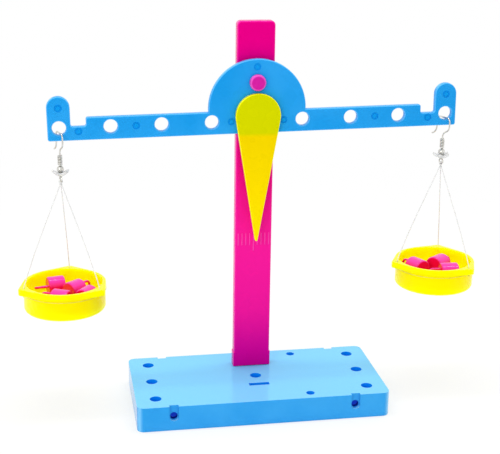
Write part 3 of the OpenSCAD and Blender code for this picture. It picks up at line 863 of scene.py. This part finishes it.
def beamMarks():
    mark = bar["mark"]
    rings = [ring(x, y, mark["r"], 32) for x, y in markPlaces()]
    return plate(rings, 2 * mark["depth"], hollows=[ring(x, y, mark["inner"], 32) for x, y in markPlaces()])


def makeBeam():
    low, high = (corner.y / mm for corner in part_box("beam"))
    holes = [
        ring(way * (bar["firstHole"] + i * bar["pitch"]), 0, bar["hole"] / 2)
        for way in (-1, 1) for i in range(bar["holes"])
    ]
    holes.append(ring(0, bar["pinAbove"], bar["pinHole"] / 2))
    bm = upright(plate([beamOutline()], high - low, bar["edge"], 4, holes), (low + high) / 2)
    bm = carve(bm, upright(beamMarks(), low))
    studs = plate(needleStuds(needle["stud"] / 2 + needle["studGap"]), 4 * bar["thickness"])
    bm = carve(bm, upright(studs, (low + high) / 2))
    recolour(bm, 1, lambda points: points[0].y < (low + high) / 2
             and near(points, markPlaces(), bar["mark"]["r"] + slack, 2))
    moved(bm, beamFrame())
    placeMesh("balanceBeam", bm, "beamPlastic", "beam", more=("markPlastic",))


def makePointer():
    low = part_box("pointer")[0].y / mm
    head, tip = needle["head"], needle["tip"]
    reach = needle["reach"] - needle["drop"] - tip
    lean = math.degrees(math.acos((head - tip) / reach))
    outline = arc(0, 0, head, lean, 360 - lean, 80) + arc(reach, 0, tip, -lean, lean, 16)
    bm = plate([outline], needle["thickness"], needle["edge"], 4)
    turn = Matrix.Rotation(math.radians(-90 - needle["lean"]), 4, "Z")
    moved(bm, Matrix.Translation((0, bar["pinAbove"] - needle["drop"], 0)) @ turn)
    upright(bm, low + needle["thickness"] / 2)
    length = needle["thickness"] / 2 + bar["thickness"] - needle["studShort"]
    studs = plate(needleStuds(needle["stud"] / 2), length, needle["studEdge"])
    bm = carve(bm, upright(studs, low + needle["thickness"] / 2 + length / 2), "UNION")
    moved(bm, beamFrame())
    placeMesh("pointerNeedle", bm, "pointerPlastic", "pointer")


makeBeam()
makePointer()
print("beam and pointer made")


# Hooks and what is threaded on them

hook = {
    "turn": {"left": 18, "right": 22}, "wire": 0.7, "topLength": 4.4, "bend": 1.8, "leg": 1.6, "return": 3.0,
    "tail": 2.6, "curl": 75, "curlRadius": 4.0, "eye": 1.1, "gap": 0.05,
    "drawn": 0.97,  # the wire is slightly thinner than the solid's
    "ease": 0.93,  # the second bend starts just past the end of the first
    "neck": 0.4, "eyeStart": 98, "eyeTurn": 344,
}
coil = {"length": 4, "wire": 0.56, "turns": 6, "gap": 0.18, "steps": 20}
bead = {
    "ball": 3, "hole": 0.82, "mouth": 0.1, "play": 0.15,
    "star": {"r": 4.2, "inner": 1.9, "t": 1.2, "rise": 1.6, "edge": 0.22, "tip": 0.28, "valley": 0.5},
}
tie = {"loop": 0.75, "thread": 0.4, "knot": 1.4, "pulled": 0.36, "lean": 0.6, "points": 60, "depth": 1.6}


def hookDrops():
    # heights on the hook, downwards from the middle of the wire at its top
    half = hook["topLength"] / 2 + hook["bend"]
    angle = math.acos(1 - half / (2 * hook["return"]))
    shaft = hook["bend"] + hook["leg"] + 2 * hook["return"] * math.sin(angle)
    drops = {"half": half, "angle": math.degrees(angle), "shaft": shaft}
    drops["coil"] = shaft + hook["gap"] + coil["wire"]
    drops["ball"] = drops["coil"] + coil["length"] + coil["wire"] / 2 + hook["gap"] + bead["ball"] / 2
    drops["star"] = drops["ball"] + bead["ball"] / 2 + hook["gap"] + bead["star"]["t"] / 2
    drops["eye"] = drops["star"] + bead["star"]["t"] / 2 + hook["gap"] + hook["wire"] / 2 + hook["eye"]
    drops["loop"] = drops["eye"] + hook["eye"]
    drops["knot"] = drops["loop"] + tie["loop"] + tie["knot"] / 2
    return drops


drop = hookDrops()


def hookFrame(side, down=0.0):
    turn = Matrix.Rotation(math.radians(hook["turn"][side]), 4, "Z")
    return Matrix.Translation(hangPoint(side)) @ turn @ Matrix.Translation((0, 0, -down))


def hookRoute():
    half, bend, back = drop["half"], hook["bend"], hook["return"]
    foot, tail = bend + hook["leg"], bend + hook["tail"]
    flat = arc(half + hook["curlRadius"], -tail, hook["curlRadius"], 180 + hook["curl"], 180, 10)
    flat += arc(hook["topLength"] / 2, -bend, bend, 0, 90, 12)
    flat += arc(-hook["topLength"] / 2, -bend, bend, 90, 180, 12)
    flat += arc(back - half, -foot, back, 180, 180 + drop["angle"], 10)
    flat += arc(-back, -drop["shaft"], back, hook["ease"] * drop["angle"], 0, 10)
    flat += [(0, -drop["coil"]), (0, -drop["ball"]), (0, hook["eye"] - drop["eye"] + hook["neck"])]
    start = hook["eyeStart"]
    eye = arc(0, -drop["eye"], hook["eye"], start, start + hook["eyeTurn"], 40)
    return [(0, y, z) for y, z in flat + eye]


def coilRoute():
    radius = hook["wire"] / 2 + coil["gap"] + coil["wire"] / 2
    steps = coil["steps"] * coil["turns"]
    route = []
    for i in range(steps + 1):
        a = math.tau * i / coil["steps"]
        route.append((radius * math.cos(a), radius * math.sin(a), -drop["coil"] - coil["length"] * i / steps))
    return route


def drilledBall():
    # a ball with the shaft's hole through it
    r, hole = bead["ball"] / 2, bead["hole"] / 2
    cut = math.degrees(math.asin(hole / r))
    outside = arc(0, 0, r, 90 - cut, cut - 90, 24)
    inside = outside[0][1] - bead["mouth"]  # the edges of the hole's mouths are broken
    profile = outside + [(hole, -inside), (hole, inside), outside[0]]
    return turned(profile, (0, 0, 1), 40)


def starBead():
    star = bead["star"]
    corners = []
    for i in range(10):
        r, rounding = (star["r"], star["tip"]) if i % 2 == 0 else (star["inner"], star["valley"])
        turn = math.radians(36 * i)
        corners.append((r * math.cos(turn), r * math.sin(turn), rounding))
    bm = plate([cornered(corners, 5)], star["t"], star["edge"], 3, [ring(0, 0, bead["hole"] / 2 + bead["play"], 24)])
    bmesh.ops.subdivide_edges(bm, edges=bm.edges, cuts=1)
    flat = bead["ball"] / 2
    for vert in bm.verts:
        out = math.hypot(vert.co.x, vert.co.y) - flat
        if out > 0:
            vert.co.z += star["rise"] * out / (star["r"] - flat)
    return bm


def knot():
    # an overhand knot, drawn tight: the curve reaches three times as far as its unit
    thread, count = tie["pulled"], tie["points"]
    reach = (tie["knot"] - thread) / 2 / 3
    points = []
    for a in (math.tau * i / count for i in range(count)):
        points.append((
            reach * (math.sin(a) + 2 * math.sin(2 * a)), reach * (math.cos(a) - 2 * math.cos(2 * a)),
            -tie["depth"] * reach * math.sin(3 * a),
        ))
    return wire(points, thread, closed=True, facets=3)


def makeHook(side):
    bent = wire(hookRoute(), hook["wire"] * hook["drawn"])
    wound = wire(coilRoute(), coil["wire"], facets=4)
    placeMesh(f"{side}HookWire", moved(bent, hookFrame(side)), "hookSteel", f"{side}_hook_wire", crease=60)
    placeMesh(f"{side}HookCoil", moved(wound, hookFrame(side)), "hookSteel", f"{side}_hook_coil", crease=60)
    ball, star = moved(drilledBall(), hookFrame(side, drop["ball"])), moved(starBead(), hookFrame(side, drop["star"]))
    placeMesh(f"{side}HookBall", ball, "hookSteel", f"{side}_hook_ball", crease=50)
    placeMesh(f"{side}StarBead", star, "beadClear", f"{side}_star_bead", crease=50)
    loop = wire([(0, y, z) for y, z in ring(0, 0, tie["loop"], 32)], tie["thread"], closed=True, facets=3)
    moved(loop, Matrix.Translation((0, 0, -drop["loop"])) @ Matrix.Rotation(math.radians(90), 4, "Z"))
    bow = moved(knot(), Matrix.Translation((0, 0, -drop["knot"])) @ Matrix.Rotation(tie["lean"], 4, "X"))
    placeMesh(f"{side}ThreadTie", moved(together(loop, bow), hookFrame(side)), "threadNylon",
              f"{side}_thread_tie", crease=60)


for side in sides:
    makeHook(side)
print("hooks made")


# Pans

dish = {
    "height": 12, "r": 17.4, "inner": 16.2, "floor": 2.4, "foot": 0.9, "round": 1.5, "innerRound": 1.0,
    "rim": 2.6, "rimR": 17.7, "lobe": 18.6, "lobeR": 2.2, "lip": 0.45, "innerLip": 0.35, "under": 0.2,
    "hole": 1.0, "holeX": 18.4, "footRound": 0.25, "floorSteps": (0.3, 0.75), "footStep": 0.4,
    "lobeSteps": [  # degrees from a lobe's middle, finer at its tip
        0.5, 1, 1.5, 2, 2.5, 3.2, 4.5, 6.5, 9, 12, 15.5, 19, 22.5, 26, 29, 32, 34, 37, 41, 45, 50, 55,
    ],
}
band = {"r": 17.65, "below": 3.35, "thread": 0.4, "knotTurn": 0.7}


def lobedRadius(turn, inset):
    # distance of the lobed rim from the pan's axis, in a direction in radians; an inset moves it inwards
    big, small, far = dish["rimR"] - inset, dish["lobeR"] - inset, dish["lobe"]
    lean = math.acos((dish["rimR"] - dish["lobeR"]) / far)
    lobe = math.radians(threadRun["lobes"]["rear"])
    a = abs((turn - lobe + math.pi / 3) % (math.tau / 3) - math.pi / 3)
    if a >= lean:
        return big
    if a >= math.atan2(small * math.sin(lean), far + small * math.cos(lean)):
        return big / math.cos(lean - a)
    return far * math.cos(a) + math.sqrt(max(small ** 2 - (far * math.sin(a)) ** 2, 0))


def panSection():
    # the pan's section from the middle of its floor over the rim to the middle of its foot: (radius, height), and
    # an inset from the lobed outline in place of the radius where the rim stands out
    h, rim, lip, under = dish["height"], dish["rim"], dish["lip"], dish["under"]
    floor, foot, e, f = dish["floor"] - h, dish["foot"] - h, dish["innerRound"], dish["innerLip"]
    recess, edge, bend = dish["inner"] - dish["round"], dish["footRound"], dish["round"]
    inside = [(dish["inner"] * share, floor) for share in dish["floorSteps"]]
    inside += arc(dish["inner"] - e, floor + e, e, -90, 0, 5) + arc(dish["inner"] + f, -f, f, 180, 90, 4)
    brim = arc(-lip, -lip, lip, 90, 0, 5) + arc(-under, under - rim, under, 0, -90, 3)
    outside = [(dish["r"], -rim)] + arc(dish["r"] - bend, bend - h, bend, 0, -90, 7)
    outside += [(recess + edge, -h), (recess, edge - h), (recess, foot), (recess * dish["footStep"], foot)]
    return [(r, z, None) for r, z in inside] + [(0, z, -r) for r, z in brim] + [(r, z, None) for r, z in outside]


def lobeHoles():
    # where the threads go through the lobes: direction and place
    turns = [math.radians(lobe) for lobe in threadRun["lobes"].values()]
    return [(a, dish["holeX"] * math.cos(a), dish["holeX"] * math.sin(a)) for a in turns]


def panShell():
    # the section's points, each drawn round the axis, with the three lobes where the rim stands out
    half = dish["lobeSteps"]
    turns = sorted([-turn for turn in half] + [0] + half + [60])
    around = [math.radians(lobe + turn) for lobe in threadRun["lobes"].values() for turn in turns]
    bm = bmesh.new()
    verts = [bm.verts.new((math.cos(a), math.sin(a), 0)) for a in around]
    edges = [bm.edges.new(pair) for pair in zip(verts, verts[1:] + verts[:1])]
    first = edges
    for step, (radius, z, inset) in enumerate(panSection()):
        if step:
            grown = bmesh.ops.extrude_edge_only(bm, edges=edges)["geom"]
            verts = [item for item in grown if isinstance(item, bmesh.types.BMVert)]
            fresh = set(verts)
            edges = [item for item in grown if isinstance(item, bmesh.types.BMEdge) and fresh.issuperset(item.verts)]
        for vert in verts:
            turn = math.atan2(vert.co.y, vert.co.x)
            r = radius if inset is None else lobedRadius(turn, inset)
            vert.co = (r * math.cos(turn), r * math.sin(turn), z)
    for last in (first, edges):
        bmesh.ops.contextual_create(bm, geom=last)
    bmesh.ops.recalc_face_normals(bm, faces=bm.faces)
    holes = [ring(x, y, dish["hole"] / 2, 20) for a, x, y in lobeHoles()]
    return carve(bm, lifted(plate(holes, 2 * dish["rim"]), -1.5 * dish["rim"], 0.5 * dish["rim"]))


def panFrame(side):
    turn = Matrix.Rotation(math.radians(threadRun["turn"][side]), 4, "Z")
    return Matrix.Translation(panRim(side)) @ turn


def makePan(side):
    placeMesh(f"{side}Pan", moved(panShell(), panFrame(side)), "panPlastic", f"{side}_pan", crease=50)
    run = [(x, y, -band["below"]) for x, y in ring(0, 0, band["r"], 96)]
    hoop = wire(run, band["thread"], closed=True, facets=3)
    knots = [
        moved(knot(), Matrix.Translation((x, y, -band["below"])) @ Matrix.Rotation(a + band["knotTurn"], 4, "Z"))
        for a, x, y in lobeHoles()
    ]
    placeMesh(f"{side}ThreadBand", moved(together(hoop, *knots), panFrame(side)), "bandNylonPaintedYellow",
              f"{side}_thread_band", crease=60)


for side in sides:
    makePan(side)
print("pans made")


# Weights

weights = {
    "left": {
        "d": 8.4, "l": 7.4,
        "places": [(-3.7, 9.5, 193, 20), (4.3, 3, 43, 90), (9.2, -5.8, 236, 90), (-1.8, -7.6, 155, 90)],
    },
    "right": {"d": 9.2, "l": 7.9, "places": [(-7.6, 1.4, 115, 90), (3.6, 4.4, 38, 80), (4.6, -6.8, 177, 90)]},
    "gap": 0.2, "edge": 0.7, "bail": {"d": 1.1, "length": 5.8, "width": 5, "root": 1},
}


def weightShape(d, length):
    # a cylinder along X with rounded ends and a wire bail on its +X end
    e, bail = weights["edge"], weights["bail"]
    r, half = d / 2, length / 2
    profile = [(0, -half)] + arc(r - e, e - half, e, -90, 0, 5) + arc(r - e, half - e, e, 0, 90, 5) + [(0, half)]
    body = turned(profile, (1, 0, 0), 44)
    leg = (bail["width"] - bail["d"]) / 2
    far = half + bail["length"] - bail["width"] / 2
    root = half - bail["root"]
    route = [(root, -leg, 0)] + [(x, y, 0) for x, y in arc(far, 0, leg, -90, 90, 16)] + [(root, leg, 0)]
    return carve(body, wire(route, bail["d"], facets=4), "UNION")


def makeWeights(side):
    kind = weights[side]
    for i, (x, y, heading, roll) in enumerate(kind["places"], 1):
        rim = panRim(side)
        z = rim.z - dish["height"] + dish["floor"] + weights["gap"] + kind["d"] / 2
        turn = Matrix.Rotation(math.radians(heading), 4, "Z") @ Matrix.Rotation(math.radians(roll), 4, "X")
        bm = moved(weightShape(kind["d"], kind["l"]), Matrix.Translation((rim.x + x, rim.y + y, z)) @ turn)
        placeMesh(f"{side}Weight{i}", bm, "weightPlastic", f"{side}_weight_{i}", crease=50)


for side in sides:
    makeWeights(side)
print("weights made")


# Stage and light

stage = {
    "floor": 8.0, "tone": (0.92, 0.92, 0.92, 1), "rough": 0.7,  # metres across
    "keep": 0.3, "near": 0.16, "far": 0.5,  # the floor keeps this share of its own shade up to near, none from far on
    # painted shade and glow under the hollow base: a navy sheet that lights itself
    "hollow": {"size": (105, 47), "lift": 0.03, "tones": ((18, 46, 150), (24, 56, 166)), "cloud": 40, "glow": 1.0},
}


def groundSheet(name, finish, w, d, lift=0.0):
    # a flat sheet of the stage, in metres
    bm = bmesh.new()
    bmesh.ops.create_grid(bm, x_segments=1, y_segments=1, size=0.5)
    bmesh.ops.scale(bm, vec=(w, d, 1), verts=bm.verts)
    bmesh.ops.translate(bm, vec=(0, 0, lift), verts=bm.verts)
    mesh = meshFrom(bm, name)
    mesh.materials.append(finish.material)
    linked(name, mesh)


def seenRays(tree):
    # 1 for rays from the camera, and for those that metal and clear pieces send on
    path = tree.nodes.new("ShaderNodeLightPath")
    seen = path.outputs["Is Camera Ray"]
    for kind in ("Is Glossy Ray", "Is Transmission Ray"):
        either = tree.nodes.new("ShaderNodeMath")
        either.operation = "MAXIMUM"
        tree.links.new(seen, either.inputs[0])
        tree.links.new(path.outputs[kind], either.inputs[1])
        seen = either.outputs[0]
    return seen


def makeFloor():
    finish = Finish("paleFloor")
    finish.put(Base_Color=stage["tone"], Roughness=stage["rough"])
    shown = finish.add("ShaderNodeEmission")
    shown.inputs["Color"].default_value = (1, 1, 1, 1)
    away = finish.add("ShaderNodeVectorMath", operation="LENGTH")
    finish.join(finish.place, away.inputs[0])
    white = finish.spread(away.outputs["Value"], 1 - stage["keep"], 1, stage["near"], stage["far"])
    mix = finish.add("ShaderNodeMixShader")
    finish.join(finish.math("MULTIPLY", seenRays(finish.tree), white), mix.inputs["Fac"])
    finish.join(finish.shader.outputs["BSDF"], mix.inputs[1])
    finish.join(shown.outputs["Emission"], mix.inputs[2])
    finish.join(mix.outputs["Shader"], finish.tree.nodes["Material Output"].inputs["Surface"])
    groundSheet("floor", finish, stage["floor"], stage["floor"])


def makeTrayShade():
    # the table under the hollow base: a navy sheet that glows, painted shade and painted glow that stand in for the
    # dim light that the blue plastic lets into the hollow
    hollow = stage["hollow"]
    w, d = hollow["size"]
    finish = Finish("shadedTable")
    tones = finish.clouds(hollow["cloud"], hollow["tones"])
    finish.feed(tones, "Base Color")
    finish.feed(tones, "Emission Color")
    finish.put(Emission_Strength=hollow["glow"])
    groundSheet("trayShade", finish, w * mm, d * mm, hollow["lift"] * mm)


studio = {"ambient": 0.8, "shown": 1.0}


def makeWorld():
    world = bpy.data.worlds.new("studio")
    bpy.context.scene.world = world
    world.use_nodes = True
    tree = world.node_tree
    ambient = tree.nodes["Background"]
    ambient.inputs["Color"].default_value = (1, 1, 1, 1)
    ambient.inputs["Strength"].default_value = studio["ambient"]
    shown = tree.nodes.new("ShaderNodeBackground")
    shown.inputs["Color"].default_value = (1, 1, 1, 1)
    shown.inputs["Strength"].default_value = studio["shown"]
    mix = tree.nodes.new("ShaderNodeMixShader")
    tree.links.new(seenRays(tree), mix.inputs["Fac"])
    tree.links.new(ambient.outputs["Background"], mix.inputs[1])
    tree.links.new(shown.outputs["Background"], mix.inputs[2])
    tree.links.new(mix.outputs["Shader"], tree.nodes["World Output"].inputs["Surface"])


lampTarget = (0, 0, 0.08)  # metres, as all here
lamps = {
    "overhead": {"place": (0, 0.05, 0.85), "size": (0.8, 0.1), "power": 2.8},
    "side": {"place": (-0.45, -0.6, 0.4), "size": (0.4, 0.4), "power": 1.35},
}


def makeLamp(name, place, size, power):
    data = bpy.data.lights.new(name, "AREA")
    data.shape = "RECTANGLE"
    data.size, data.size_y = size
    data.energy = power
    obj = linked(name, data)
    obj.location = place
    obj.rotation_mode = "QUATERNION"
    obj.rotation_quaternion = (Vector(lampTarget) - Vector(place)).to_track_quat("-Z", "Y")


makeFloor()
makeTrayShade()
makeWorld()
for name, lamp in lamps.items():
    makeLamp(name, **lamp)
bpy.context.scene.view_settings.view_transform = "Standard"
print("stage lit")
